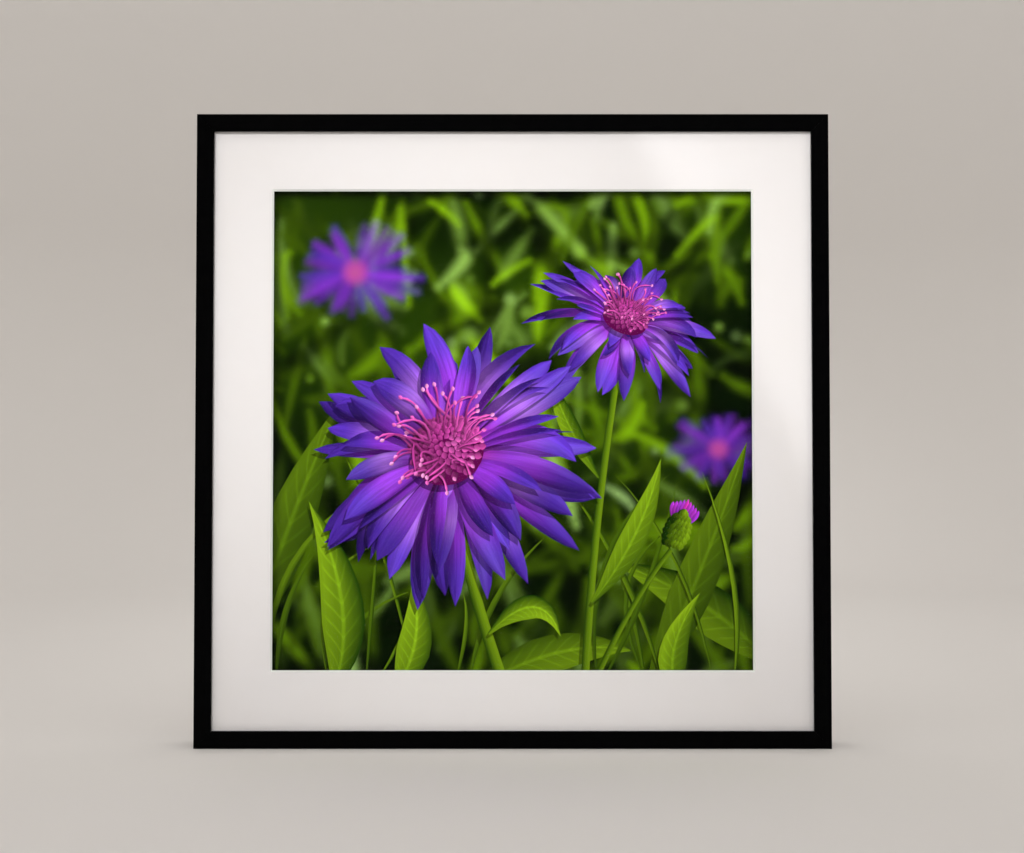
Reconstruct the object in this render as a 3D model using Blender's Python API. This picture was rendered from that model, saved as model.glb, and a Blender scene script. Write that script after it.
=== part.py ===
"""A framed picture: square black frame, glazing, window mat, print, boards and back fittings.

Metres, +Z up. The picture stands upright on its bottom rail, with its front facing -Y and its back
facing +Y. The origin is on the floor, in the middle of the whole width and depth.

Every mesh is built around the middle of the frame's front face: x runs across, z up, and y is the
depth behind the front face.
"""

from math import cos, pi, radians, sin, sqrt

import bmesh
import bpy
from mathutils import Vector

MM = 0.001
GAP = 0.3 * MM                # clearance between pieces that touch in the real picture

# Moulding
FRAME_SIZE = 520 * MM         # outer width and height
FACE_WIDTH = 14.3 * MM        # front face of a rail, from the outer edge to the sight edge
RAIL_DEPTH = 35 * MM          # from the front face to the back faces of the rails
LIP_DEPTH = 3 * MM            # thickness of the lip in front of the glazing
REBATE_LAP = 5.3 * MM         # how far the lip reaches over the rebate
FACE_ARRIS = 0.8 * MM         # rounding of the two front edges
BACK_ARRIS = 0.4 * MM         # rounding of the back edges
ARC_STEPS = 4                 # straight pieces in each rounded edge

# Sheets in the rebate, from the front
SHEET_SIZE = 500 * MM         # glazing, mat, mount board and backing board
GLAZING_THICKNESS = 1.5 * MM
MAT_THICKNESS = 1.5 * MM
WINDOW_SIZE = 394.2 * MM      # the print that shows, at the back edge of the mat's bevel
TAPE_THICKNESS = 0.25 * MM
PRINT_SIZE = 400 * MM
PRINT_THICKNESS = 0.3 * MM
MOUNT_THICKNESS = 1.5 * MM
BACKING_THICKNESS = 3 * MM

# Hinge tapes that hang the print on the mount board
TAPE_WIDTH = 30 * MM
TAPE_SPREAD = 240 * MM        # between the middles of the two tapes
TAPE_ON_PRINT = 1.8 * MM      # less than the mat covers, so the tapes stay hidden
TAPE_ON_BOARD = 20 * MM
TAPE_STEP = 1 * MM            # height over which the tape drops from the print to the board

# Steel points that hold the backing board in the rebate
POINTS_PER_RAIL = 3
POINT_PITCH = 170 * MM
POINT_WIDTH = 8 * MM
POINT_LENGTH = 15 * MM
POINT_THICKNESS = 0.6 * MM
POINT_DRIVEN = 5.5 * MM       # length inside the wood
POINT_TAPER = 3 * MM          # length of the sharpened end
POINT_CORNER = 0.8 * MM       # cut off each corner of the free end

# V-nails that pull the mitres together from the back
V_NAIL_APEX = 6 * MM          # from the outer edges to the inside of the bend
V_NAIL_TIP = 1.4 * MM         # from an outer edge to the end of a wing
V_NAIL_THICKNESS = 0.5 * MM
V_NAIL_HEIGHT = 10 * MM

# Saw-toothed hanger on the back of the top rail
HANGER_WIDTH = 46 * MM
HANGER_HEIGHT = 6.5 * MM
HANGER_THICKNESS = 0.8 * MM
HANGER_RISE = 1.2 * MM        # how far the middle stands off the rail
HANGER_TAB = 7 * MM           # flat end with the nail hole
HANGER_RAMP = 2 * MM          # width over which an end rises to the middle
TOOTH_PITCH = 2 * MM
TOOTH_DEPTH = 1 * MM

# Nails of the hanger
NAIL_RADIUS = 0.6 * MM
NAIL_LENGTH = 11 * MM
NAIL_TAPER = 1.8 * MM
NAIL_TIP_RADIUS = 0.1 * MM
NAIL_HEAD_RADIUS = 1.6 * MM
NAIL_HEAD_TOP_RADIUS = 1.3 * MM
NAIL_HEAD_THICKNESS = 0.6 * MM
NAIL_SIDES = 16

# Bumpers on the lower back corners
BUMPER_RADIUS = 4 * MM
BUMPER_THICKNESS = 2.5 * MM
BUMPER_ROUNDING = 0.6 * MM
BUMPER_SIDES = 32
BUMPER_INSET = 20 * MM        # from the frame's side to the middle of the bumper

# Worked out from the dimensions above
HALF = FRAME_SIZE / 2
WALL_WIDTH = FACE_WIDTH - REBATE_LAP
REBATE_SIZE = FRAME_SIZE - 2 * WALL_WIDTH
TOTAL_DEPTH = RAIL_DEPTH + GAP + BUMPER_THICKNESS
SHEET_Z = (SHEET_SIZE - REBATE_SIZE) / 2 + GAP    # the sheets stand on the bottom of the rebate

GLAZING_Y = LIP_DEPTH + GAP
MAT_Y = GLAZING_Y + GLAZING_THICKNESS + GAP
TAPE_Y = MAT_Y + MAT_THICKNESS + GAP
PRINT_Y = TAPE_Y + TAPE_THICKNESS + GAP
MOUNT_Y = PRINT_Y + PRINT_THICKNESS + GAP
BACKING_Y = MOUNT_Y + MOUNT_THICKNESS + GAP
POINT_Y = BACKING_Y + BACKING_THICKNESS + GAP
HANGER_Y = RAIL_DEPTH + GAP

SHARP_ANGLE = radians(30)     # edges that bend more than this are shaded sharp

# Turn of each rail about the middle of the frame, in degrees
SIDES = {"bottom": 0, "left": 90, "top": 180, "right": 270}

# Colour, roughness and metallic value of each material
PAINTS = {
    "black_lacquer": ((0.004, 0.004, 0.005), 0.42, 0.0),
    "clear_glass": ((0.90, 0.93, 0.92), 0.03, 0.0),
    "mat_board": ((0.86, 0.83, 0.80), 0.9, 0.0),
    "print_paper": ((0.10, 0.14, 0.04), 0.5, 0.0),
    "hinge_tape": ((0.80, 0.77, 0.70), 0.9, 0.0),
    "mount_board": ((0.83, 0.80, 0.74), 0.9, 0.0),
    "hardboard": ((0.22, 0.12, 0.06), 0.8, 0.0),
    "zinc_steel": ((0.60, 0.61, 0.62), 0.35, 0.9),
    "felt": ((0.05, 0.05, 0.05), 0.95, 0.0),
}


def clear_scene():
    """Remove whatever the file opens with."""
    for old in list(bpy.data.objects):
        bpy.data.objects.remove(old)


def paint(name):
    """Return the material of that name, made on its first use."""
    found = bpy.data.materials.get(name)
    if found:
        return found
    colour, roughness, metallic = PAINTS[name]
    made = bpy.data.materials.new(name)
    made.use_nodes = True
    shader = made.node_tree.nodes["Principled BSDF"]
    shader.inputs["Base Color"].default_value = (*colour, 1)
    shader.inputs["Roughness"].default_value = roughness
    shader.inputs["Metallic"].default_value = metallic
    return made


def empty(name, parent=None, place=(0, 0, 0), turn=0):
    """Add an empty that carries other objects, turned about Y by some degrees."""
    made = bpy.data.objects.new(name, None)
    bpy.context.collection.objects.link(made)
    made.parent = parent
    made.location = place
    made.rotation_euler = (0, radians(turn), 0)
    return made


def solid(name, loops, parent, material=None, ring=False):
    """Add a closed solid from loops with equally many points.

    Neighbouring loops are bridged. The first and last are capped, or in a ring bridged too.
    """
    shape = bmesh.new()
    rows = [[shape.verts.new(point) for point in loop] for loop in loops]
    pairs = list(zip(rows, rows[1:]))
    if ring:
        pairs.append((rows[-1], rows[0]))
    else:
        shape.faces.new(rows[0])
        shape.faces.new(rows[-1])
    for near, far in pairs:
        for i in range(len(near)):
            shape.faces.new((near[i - 1], near[i], far[i], far[i - 1]))
    bmesh.ops.recalc_face_normals(shape, faces=shape.faces)
    mesh = bpy.data.meshes.new(name)
    shape.to_mesh(mesh)
    shape.free()
    mesh.shade_smooth()
    mesh.set_sharp_from_angle(angle=SHARP_ANGLE)
    made = bpy.data.objects.new(name, mesh)
    bpy.context.collection.objects.link(made)
    made.parent = parent
    if material:
        mesh.materials.append(paint(material))
    else:
        made.hide_render = True
        made.display_type = "WIRE"
    return made


def cut(target, cutter):
    """Take the cutter's shape out of the target."""
    modifier = target.modifiers.new(cutter.name, "BOOLEAN")
    modifier.operation = "DIFFERENCE"
    modifier.object = cutter


def rounded(corners):
    """Return an outline from (point, radius) corners, which are all right angles."""
    outline = []
    for i, (point, radius) in enumerate(corners):
        corner = Vector(point)
        if not radius:
            outline.append(corner)
            continue
        before = (Vector(corners[i - 1][0]) - corner).normalized()
        after = (Vector(corners[(i + 1) % len(corners)][0]) - corner).normalized()
        centre = corner + radius * (before + after)
        for step in range(ARC_STEPS + 1):
            angle = pi / 2 * step / ARC_STEPS
            outline.append(centre - radius * (after * cos(angle) + before * sin(angle)))
    return outline


def square(size, y, rise=0):
    """Return the corners of an upright square at a depth."""
    half = size / 2
    return [(x, y, rise + z) for x, z in ((-half, -half), (half, -half), (half, half), (-half, half))]


def upright(outline, y):
    """Return (x, z) points as a loop at a depth."""
    return [(x, y, z) for x, z in outline]


def circle(radius, y, sides, x=0, z=0):
    """Return a circle about an axis along Y."""
    angles = [2 * pi * i / sides for i in range(sides)]
    return [(x + radius * cos(angle), y, z + radius * sin(angle)) for angle in angles]


def rail(side, carrier):
    """Add one mitred rail. Its outline holds the inward distance and the depth of each point."""
    outline = rounded([
        ((0, 0), FACE_ARRIS),
        ((FACE_WIDTH, 0), FACE_ARRIS),
        ((FACE_WIDTH, LIP_DEPTH), BACK_ARRIS),
        ((WALL_WIDTH, LIP_DEPTH), 0),
        ((WALL_WIDTH, RAIL_DEPTH), BACK_ARRIS),
        ((0, RAIL_DEPTH), BACK_ARRIS),
    ])
    trim = GAP / 2 * sqrt(2)
    ends = []
    for hand in (-1, 1):
        ends.append([(hand * (HALF - inward - trim), y, inward - HALF) for inward, y in outline])
    return solid("rail_" + side, ends, carrier, "black_lacquer")


def point_outline(across, grow=0):
    """Return a driven point's outline on the bottom rail, sharpened end down, grown all round."""
    half = POINT_WIDTH / 2
    slope = POINT_TAPER / half
    tip = WALL_WIDTH - POINT_DRIVEN - grow * sqrt(1 + slope ** 2) - HALF
    shoulder = tip + slope * (half + grow)
    tail = WALL_WIDTH - POINT_DRIVEN + POINT_LENGTH + grow - HALF
    wide, narrow = half + grow, half - POINT_CORNER
    corners = ((0, tip), (wide, shoulder), (wide, tail - POINT_CORNER), (narrow, tail),
               (-narrow, tail), (-wide, tail - POINT_CORNER), (-wide, shoulder))
    return [(across + x, z) for x, z in corners]


def points(side, carrier, wood):
    """Add the steel points of one rail, each in a slot in the wood."""
    first = -(POINTS_PER_RAIL - 1) / 2 * POINT_PITCH
    for i in range(POINTS_PER_RAIL):
        across = first + i * POINT_PITCH
        name = f"point_{side}_{i + 1}"
        outline = point_outline(across)
        loops = [upright(outline, POINT_Y), upright(outline, POINT_Y + POINT_THICKNESS)]
        solid(name, loops, carrier, "zinc_steel")
        slot = point_outline(across, GAP)
        loops = [upright(slot, POINT_Y - GAP), upright(slot, POINT_Y + POINT_THICKNESS + GAP)]
        cut(wood, solid("cutter_" + name, loops, carrier))


def v_outline(hand, grow=0):
    """Return a V-nail's outline at the bottom rail's -X or +X corner, grown all round."""
    tip, inner, outer = V_NAIL_TIP - grow, V_NAIL_APEX - grow, V_NAIL_APEX + V_NAIL_THICKNESS + grow
    corners = ((outer, outer), (tip, outer), (tip, inner), (inner, inner), (inner, tip), (outer, tip))
    return [(hand * (HALF - a), b - HALF) for a, b in corners]


def v_nail(side, carrier):
    """Add the V-nail in the corner at the -X end of a rail, before the rail's turn."""
    back = RAIL_DEPTH - GAP
    outline = v_outline(-1)
    loops = [upright(outline, back - V_NAIL_HEIGHT), upright(outline, back)]
    solid("v_nail_" + side, loops, carrier, "zinc_steel")


def cut_v_slots(side, carrier, wood):
    """Cut the slots for the V-nails into both ends of a rail."""
    for end, hand in (("a", -1), ("b", 1)):
        outline = v_outline(hand, GAP)
        floor = RAIL_DEPTH - V_NAIL_HEIGHT - 2 * GAP
        loops = [upright(outline, floor), upright(outline, RAIL_DEPTH + GAP)]
        cut(wood, solid(f"cutter_v_nail_{side}_{end}", loops, carrier))


def sheet(name, size, y, thickness, centre, material, rise=SHEET_Z):
    """Add a plain square sheet."""
    solid(name, [square(size, y, rise), square(size, y + thickness, rise)], centre, material)


def window_mat(centre):
    """Add the mat with a window cut at 45 degrees, wider at the front."""
    back = MAT_Y + MAT_THICKNESS
    loops = [
        square(SHEET_SIZE, MAT_Y, SHEET_Z),
        square(SHEET_SIZE, back, SHEET_Z),
        square(WINDOW_SIZE, back),
        square(WINDOW_SIZE + 2 * MAT_THICKNESS, MAT_Y),
    ]
    solid("window_mat", loops, centre, "mat_board", ring=True)


def hinge_tapes(centre):
    """Add two tapes that run from the print's top edge up onto the mount board."""
    board_y = MOUNT_Y - GAP - TAPE_THICKNESS
    top = PRINT_SIZE / 2
    bend = top + 2 * GAP
    route = [(top - TAPE_ON_PRINT, TAPE_Y), (bend, TAPE_Y),
             (bend + TAPE_STEP, board_y), (top + TAPE_ON_BOARD, board_y)]
    outline = route + [(z, y + TAPE_THICKNESS) for z, y in reversed(route)]
    for side, hand in (("left", -1), ("right", 1)):
        middle = hand * TAPE_SPREAD / 2
        edges = (middle - TAPE_WIDTH / 2, middle + TAPE_WIDTH / 2)
        loops = [[(x, y, z) for z, y in outline] for x in edges]
        solid("hinge_tape_" + side, loops, centre, "hinge_tape")


def hanger_columns():
    """Return (x, rise, notch depth) for each column of the hanger, from -X to +X."""
    half = HANGER_WIDTH / 2
    raised = half - HANGER_TAB - HANGER_RAMP
    ends = [(half, 0, 0), (half - HANGER_TAB, 0, 0), (raised, HANGER_RISE, 0)]
    columns = [(-x, rise, notch) for x, rise, notch in ends]
    notches = int(2 * raised / TOOTH_PITCH)
    for i in range(2 * notches - 1):
        x = (i + 1 - notches) * TOOTH_PITCH / 2
        columns.append((x, HANGER_RISE, TOOTH_DEPTH if i % 2 == 0 else 0))
    return columns + ends[::-1]


def hanger(centre, top_rail):
    """Add the hanger on the middle of the top rail's back, with its two nails."""
    middle = HALF - WALL_WIDTH / 2
    top, bottom = middle + HANGER_HEIGHT / 2, middle - HANGER_HEIGHT / 2
    loops = []
    for x, rise, notch in hanger_columns():
        near, far = HANGER_Y + rise, HANGER_Y + rise + HANGER_THICKNESS
        edge = bottom + notch
        loops.append([(x, near, top), (x, far, top), (x, far, edge), (x, near, edge)])
    plate = solid("sawtooth_hanger", loops, centre, "zinc_steel")
    head_y = HANGER_Y + HANGER_THICKNESS + GAP
    tip_y = head_y - NAIL_LENGTH
    across = (HANGER_WIDTH - HANGER_TAB) / 2
    profile = [
        (NAIL_TIP_RADIUS, tip_y),
        (NAIL_RADIUS, tip_y + NAIL_TAPER),
        (NAIL_RADIUS, head_y),
        (NAIL_HEAD_RADIUS, head_y),
        (NAIL_HEAD_RADIUS, head_y + NAIL_HEAD_THICKNESS / 2),
        (NAIL_HEAD_TOP_RADIUS, head_y + NAIL_HEAD_THICKNESS),
    ]
    for side, x in (("left", -across), ("right", across)):
        name = "hanger_nail_" + side
        loops = [circle(radius, y, NAIL_SIDES, x, middle) for radius, y in profile]
        solid(name, loops, centre, "zinc_steel")
        hole = [circle(NAIL_RADIUS + GAP, y, NAIL_SIDES, x, middle) for y in (tip_y - GAP, head_y)]
        cutter = solid("cutter_" + name, hole, centre)
        cut(plate, cutter)
        cut(top_rail, cutter)


def bumpers(centre):
    """Add a round felt bumper on the back of the frame at each lower corner."""
    face = HANGER_Y + BUMPER_THICKNESS
    profile = [(BUMPER_RADIUS, HANGER_Y)]
    for step in range(ARC_STEPS + 1):
        angle = pi / 2 * step / ARC_STEPS
        profile.append((BUMPER_RADIUS - BUMPER_ROUNDING * (1 - cos(angle)),
                        face - BUMPER_ROUNDING * (1 - sin(angle))))
    for side, hand in (("left", -1), ("right", 1)):
        x, z = hand * (HALF - BUMPER_INSET), WALL_WIDTH / 2 - HALF
        loops = [circle(radius, y, BUMPER_SIDES, x, z) for radius, y in profile]
        solid("bumper_" + side, loops, centre, "felt")


def build():
    """Model the whole picture."""
    clear_scene()
    centre = empty("picture_centre", place=(0, -TOTAL_DEPTH / 2, HALF))
    rails = {}
    for side, turn in SIDES.items():
        carrier = empty("side_" + side, centre, turn=turn)
        wood = rail(side, carrier)
        rails[side] = wood
        points(side, carrier, wood)
        v_nail(side, carrier)
        cut_v_slots(side, carrier, wood)
    sheet("glazing_sheet", SHEET_SIZE, GLAZING_Y, GLAZING_THICKNESS, centre, "clear_glass")
    window_mat(centre)
    sheet("art_print", PRINT_SIZE, PRINT_Y, PRINT_THICKNESS, centre, "print_paper", rise=0)
    hinge_tapes(centre)
    sheet("mount_board", SHEET_SIZE, MOUNT_Y, MOUNT_THICKNESS, centre, "mount_board")
    sheet("backing_board", SHEET_SIZE, BACKING_Y, BACKING_THICKNESS, centre, "hardboard")
    hanger(centre, rails["top"])
    bumpers(centre)


build()
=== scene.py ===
"""The looks of a framed flower print, modelled around its packed parts.

The moulding, mat, print, points, hanger, nails and bumpers are modelled again with their fine shape.
The glazing, boards and tapes keep their packed shape and get their finish.

Metres, +Z up, with the picture's front facing -Y, as in the packed model.
"""

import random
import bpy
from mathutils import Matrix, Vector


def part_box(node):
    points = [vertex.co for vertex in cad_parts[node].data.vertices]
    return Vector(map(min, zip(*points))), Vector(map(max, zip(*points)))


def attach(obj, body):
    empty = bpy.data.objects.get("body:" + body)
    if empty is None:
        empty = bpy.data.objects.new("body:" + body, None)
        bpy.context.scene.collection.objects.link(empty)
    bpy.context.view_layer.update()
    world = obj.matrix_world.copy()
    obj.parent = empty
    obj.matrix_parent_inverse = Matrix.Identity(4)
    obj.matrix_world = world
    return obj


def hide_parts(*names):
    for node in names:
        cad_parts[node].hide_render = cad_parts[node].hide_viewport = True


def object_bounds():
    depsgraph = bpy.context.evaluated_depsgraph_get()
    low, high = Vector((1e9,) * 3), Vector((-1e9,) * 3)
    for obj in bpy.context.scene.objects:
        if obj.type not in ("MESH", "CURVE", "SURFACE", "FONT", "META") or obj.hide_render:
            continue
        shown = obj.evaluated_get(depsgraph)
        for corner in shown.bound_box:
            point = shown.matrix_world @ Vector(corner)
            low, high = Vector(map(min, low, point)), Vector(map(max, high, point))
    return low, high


bl_info = {
    "name": "Framed flower print",
    "version": (1, 0, 0),
    "blender": (4, 5, 0),
    "location": "3D View > Sidebar > Framed print",
    "description": "Builds the looks of a framed flower print around its packed parts",
    "category": "Object",
}

from math import cos, pi, radians, sin, sqrt

import bmesh
import bpy
import numpy as np
from bpy.props import FloatProperty, FloatVectorProperty, IntProperty, PointerProperty
from mathutils import Euler, Vector
from mathutils.geometry import delaunay_2d_cdt

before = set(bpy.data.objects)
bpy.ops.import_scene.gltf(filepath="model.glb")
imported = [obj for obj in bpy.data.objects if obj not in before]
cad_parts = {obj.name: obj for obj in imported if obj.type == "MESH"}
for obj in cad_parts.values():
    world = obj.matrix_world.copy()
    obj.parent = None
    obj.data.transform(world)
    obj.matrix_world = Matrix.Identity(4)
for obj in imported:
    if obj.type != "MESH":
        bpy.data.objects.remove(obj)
CAD_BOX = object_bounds()

MM = 0.001
SIDES = ("bottom", "right", "top", "left")
CAMERA_PLACE = (-0.0005, -1.1826, 0.2312)
CAMERA_RISE = 1.5423          # degrees above the horizon
CAMERA_LENS = 50
KEY_PLACE = (-0.25, -2.25, 1.0)
KEY_AIM = (-0.04, 0, 0.33)
KEY_RADIUS = 0.4
KEY_CONE = 21                 # degrees across the beam
KEY_FADE = 0.9                # share of the beam that its soft edge takes up
STREAK_PLACE = (0.2634, -0.9, 0.4088)
STREAK_WIDTH, STREAK_HEIGHT = 0.2, 0.42
STREAK_SPREAD = 3             # degrees that its rays part by
STREAK_TURN = 26.5            # degrees from upright
SKY_COLOUR = (1, 0.985, 0.965, 1)

RAIL_LOW, RAIL_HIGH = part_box("rail_bottom")
MAT_LOW, MAT_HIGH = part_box("window_mat")
PRINT_LOW, PRINT_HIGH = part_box("art_print")
FRAME_SIZE = CAD_BOX[1][0] - CAD_BOX[0][0]
FRONT, BACK = RAIL_LOW.y, RAIL_HIGH.y
MIDDLE = Vector((0, 0, FRAME_SIZE / 2))
WINDOW_HALF = min(max(abs(corner.co.x), abs(corner.co.z - MIDDLE.z))
                  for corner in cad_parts["window_mat"].data.vertices)
SHEET_HALF = (PRINT_HIGH.x - PRINT_LOW.x) / 2 / WINDOW_HALF


# Shader maths

class Wire:
    """A value that runs through a material, with its maths written as Python expressions."""

    def __init__(self, finish, socket):
        self.finish = finish
        self.socket = socket

    def maths(self, operation, *values):
        """Run values through a Math node."""
        return self.finish.node("ShaderNodeMath", {"operation": operation}, values)

    def other(self, name):
        """Return another output of the same node."""
        return Wire(self.finish, self.socket.node.outputs[name])

    def __add__(self, value):
        return self.maths("ADD", self, value)

    def __sub__(self, value):
        return self.maths("SUBTRACT", self, value)

    def __rsub__(self, value):
        return self.maths("SUBTRACT", value, self)

    def __mul__(self, value):
        return self.maths("MULTIPLY", self, value)

    def __truediv__(self, value):
        return self.maths("DIVIDE", self, value)

    def __abs__(self):
        return self.maths("ABSOLUTE", self)

    def fraction(self):
        """Return the part after the decimal point."""
        return self.maths("FRACT", self)

    __radd__ = __add__
    __rmul__ = __mul__


class Finish:
    """A material while its nodes are put together."""

    def __init__(self, name):
        self.material = bpy.data.materials.new(name)
        self.material.use_nodes = True
        self.tree = self.material.node_tree
        self.tree.nodes.clear()

    def node(self, kind, settings=None, values=(), output=0):
        """Add a node: its settings first, then values or wires for its sockets."""
        made = self.tree.nodes.new(kind)
        for key, value in (settings or {}).items():
            setattr(made, key, value)
        pairs = values.items() if isinstance(values, dict) else enumerate(values)
        for key, value in pairs:
            if isinstance(value, Wire):
                self.tree.links.new(value.socket, made.inputs[key])
            elif value is not None:
                made.inputs[key].default_value = value
        return Wire(self, made.outputs[output])

    def place(self, scale=(1, 1, 1), turn=(0, 0, 0)):
        """Return the point on the piece, in metres, stretched by a scale and turned."""
        point = self.node("ShaderNodeTexCoord", output="Object")
        return self.node("ShaderNodeMapping", None, {"Vector": point, "Scale": scale, "Rotation": turn})

    def split(self, vector):
        """Return the X, Y and Z of a vector."""
        x = self.node("ShaderNodeSeparateXYZ", None, (vector,))
        return x, x.other("Y"), x.other("Z")

    def join(self, *values):
        """Return a vector made of three values."""
        return self.node("ShaderNodeCombineXYZ", None, values)

    def noise(self, where, scale, detail=2, roughness=0.5):
        """Return noise from 0 to 1."""
        values = {"Vector": where, "Scale": scale, "Detail": detail, "Roughness": roughness}
        return self.node("ShaderNodeTexNoise", None, values)

    def step(self, value, low, high):
        """Return 0 below low and 1 above high, with a smooth change between them."""
        settings = {"interpolation_type": "SMOOTHSTEP"}
        return self.node("ShaderNodeMapRange", settings, (value, low, high, 0, 1))

    def mix(self, factor, a, b, way="MIX"):
        """Mix two colours."""
        a, b = (value if isinstance(value, Wire) else (*value, 1) for value in (a, b))
        settings = {"data_type": "RGBA", "blend_type": way, "clamp_factor": False}
        return self.node("ShaderNodeMix", settings, {0: factor, 6: a, 7: b}, 2)

    def bump(self, height, depth, strength):
        """Return a normal roughened by a height from 0 to 1, over a depth in metres."""
        values = {"Strength": strength, "Distance": depth, "Height": height}
        return self.node("ShaderNodeBump", None, values)

    def surface(self, **values):
        """Finish with a Principled BSDF. An underscore in a name stands for a space."""
        named = {key.replace("_", " "): value for key, value in values.items()}
        return self.output(self.node("ShaderNodeBsdfPrincipled", None, named))

    def output(self, shader):
        """Connect the shader to the output and return the material."""
        end = self.tree.nodes.new("ShaderNodeOutputMaterial")
        self.tree.links.new(shader.socket, end.inputs["Surface"])
        return self.material


# Finishes

def shaded(colour, share):
    """Return a colour with its light multiplied by a share."""
    return tuple(value * share for value in colour)


def lacquered_wood(name, colour, along):
    """Black lacquer over grain that runs along a rail: dead flat on the face, satin on sides and back."""
    finish = Finish(name)
    flat_end, satin_start = FRONT + 0.4 * MM, FRONT + 1.6 * MM
    _, depth, _ = finish.split(finish.place())
    satin = finish.step(depth, flat_end, satin_start)
    grain_stretch = 0.03
    grain_place = finish.place(tuple(grain_stretch if axis == along else 1 for axis in "XYZ"))
    pores = finish.noise(grain_place, 1400, 3, 0.65)
    bands = finish.noise(grain_place, 220, 2, 0.5)
    mottle = finish.noise(finish.place(), 90, 2)
    tone = finish.mix(bands, shaded(colour, 0.6), colour)
    height = pores * 0.7 + bands * 0.5
    return finish.surface(
        Base_Color=tone, Roughness=0.22 + mottle * 0.06 + pores * 0.05, Specular_IOR_Level=0.02,
        Coat_Weight=satin * 0.5, Coat_Roughness=0.28, Normal=finish.bump(height, 0.03 * MM, 0.35))


def clear_glass(name, ior):
    """Glass with an anti-reflection coat, which shows only faint reflections."""
    finish = Finish(name)
    clear = finish.node("ShaderNodeBsdfTransparent", None, ((0.985, 0.992, 0.987, 1),))
    mirror = finish.node("ShaderNodeBsdfAnisotropic", None, {"Color": (1, 1, 1, 1), "Roughness": 0.02})
    share = finish.node("ShaderNodeFresnel", None, {"IOR": ior})
    return finish.output(finish.node("ShaderNodeMixShader", None, (share, clear, mirror)))


def mat_card(name, colour, core, front):
    """Cotton mat board: a faintly mottled face with fine fibres, and a whiter core on the bevel."""
    finish = Finish(name)
    where = finish.place()
    tooth = finish.noise(where, 2600, 3, 0.6)
    cloud = finish.noise(where, 28, 3, 0.55)
    fibre_place = finish.place((1, 1, 0.12), (0, radians(35), 0))
    fibres = finish.step(finish.noise(fibre_place, 1900, 2), 0.62, 0.78)
    _, depth, _ = finish.split(where)
    face_end, core_start = front + 0.05 * MM, front + 0.12 * MM
    bare = finish.step(depth, face_end, core_start)
    warm = tuple(value * share for value, share in zip(colour, (0.985, 0.975, 0.96)))
    face = finish.mix(cloud, warm, colour)
    face = finish.mix(fibres * 0.12, face, shaded(colour, 0.9))
    tone = finish.mix(bare, face, core)
    return finish.surface(
        Base_Color=tone, Roughness=0.86 + tooth * 0.1, Specular_IOR_Level=0.25,
        Normal=finish.bump(tooth + fibres * 0.4, 0.03 * MM, 0.45))


def printed_paper(name):
    """Photo paper whose ink comes from the print's own colours, with streaks and veins on each blade, and a
    painted shadow of the mat along the window's edges.
    """
    finish = Finish(name)
    ink = finish.node("ShaderNodeVertexColor", {"layer_name": "ink"})
    blade = finish.node("ShaderNodeVertexColor", {"layer_name": "blade"})
    marks = finish.node("ShaderNodeSeparateColor", None, (blade,))
    streaky, veined = marks.other("Green"), marks.other("Blue")
    along, across, _ = finish.split(finish.node("ShaderNodeUVMap", {"uv_map": "blade_place"}))
    fine = finish.join(along * 3, across * 6.5, marks * 60)
    broad = finish.join(along * 2, across * 1.4, marks * 90)
    streaks = finish.noise(fine, 1, 3, 0.6) * 1.2 + finish.noise(broad, 1, 1) * 1.1 - 1.15
    rib = finish.step(abs(across), 0.16, 0.02)
    side = (along * 11 - abs(across) * 1.6).fraction() - 0.5
    side_veins = finish.step(abs(side), 0.16, 0.02) * finish.step(abs(across), 1.0, 0.6)
    rim = finish.step(abs(across), 0.7, 1.0)
    light = 1 + streaks * streaky * 1.3 + (rib * 0.6 + side_veins * 0.3) * veined
    light = light * (1 - rim * streaky * 0.45)
    grains = finish.noise(finish.place(), 1500, 2, 0.6)
    light = light * (0.95 + grains * 0.1)
    # Painted shadow of the mat: the ink is darkened near the window's top, left and right edges, most at
    # the top
    x, _, z = finish.split(finish.place())
    for place, edge, reach, strength in (
            (z, MIDDLE.z + WINDOW_HALF, -10 * MM, 0.9), (x, -WINDOW_HALF, 9 * MM, 0.6),
            (x, WINDOW_HALF, -9 * MM, 0.4)):
        light = light * (1 - finish.step(place, edge + reach, edge) * strength)
    tone = finish.mix(1.0, ink, finish.join(light, light, light), "MULTIPLY")
    tooth = finish.noise(finish.place(), 2200, 2)
    return finish.surface(
        Base_Color=tone, Roughness=0.42 + tooth * 0.08, Specular_IOR_Level=0.05,
        Normal=finish.bump(tooth, 0.01 * MM, 0.4))


def plain_paper(name, colour):
    """Uncoated paper or card with a fine tooth and faint fibres."""
    finish = Finish(name)
    tooth = finish.noise(finish.place(), 2200, 3, 0.6)
    cloud = finish.noise(finish.place(), 45, 3)
    tone = finish.mix(cloud, shaded(colour, 0.93), colour)
    return finish.surface(
        Base_Color=tone, Roughness=0.85 + tooth * 0.1, Normal=finish.bump(tooth, 0.03 * MM, 0.5))


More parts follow.
